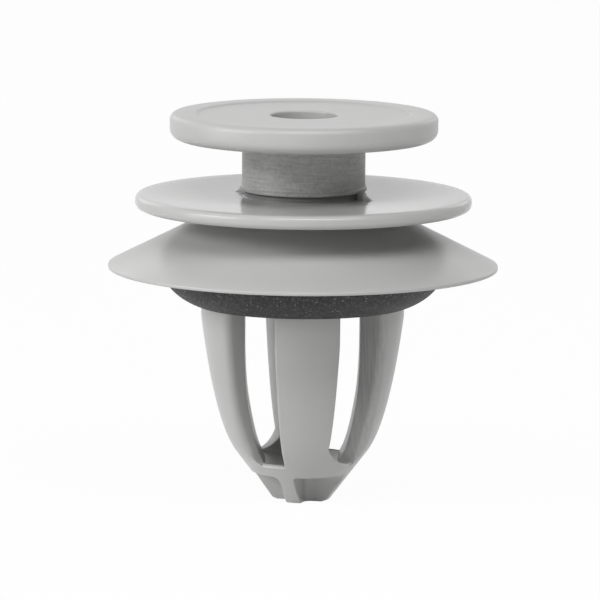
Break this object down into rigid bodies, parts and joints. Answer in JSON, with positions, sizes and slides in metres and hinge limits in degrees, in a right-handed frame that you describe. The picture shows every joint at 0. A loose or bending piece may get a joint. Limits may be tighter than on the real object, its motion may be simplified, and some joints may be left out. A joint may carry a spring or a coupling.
{
  "type": "molding clip",
  "caption": "Push-in trim clip: button head on a neck, flange, umbrella skirt with a sealing ring, and a bowed four-legged cage with a ribbed conical tip.",
  "frame": {"origin": "on the clip's axis, in the plane of the sealing ring's underside, which lies on the panel", "axes": "+Z along the axis towards the button head; -Y towards the narrow leg that the picture shows in front"},
  "size_m": [0.019, 0.019, 0.019],
  "materials": {
    "body_plastic": "semi-gloss grey acetal, finely mottled",
    "ring_rubber": "matte black, fine grain"
  },
  "bodies": {
    "root": {"clip_body": "body_plastic", "sealing_ring": "ring_rubber"}
  },
  "joints": []
}
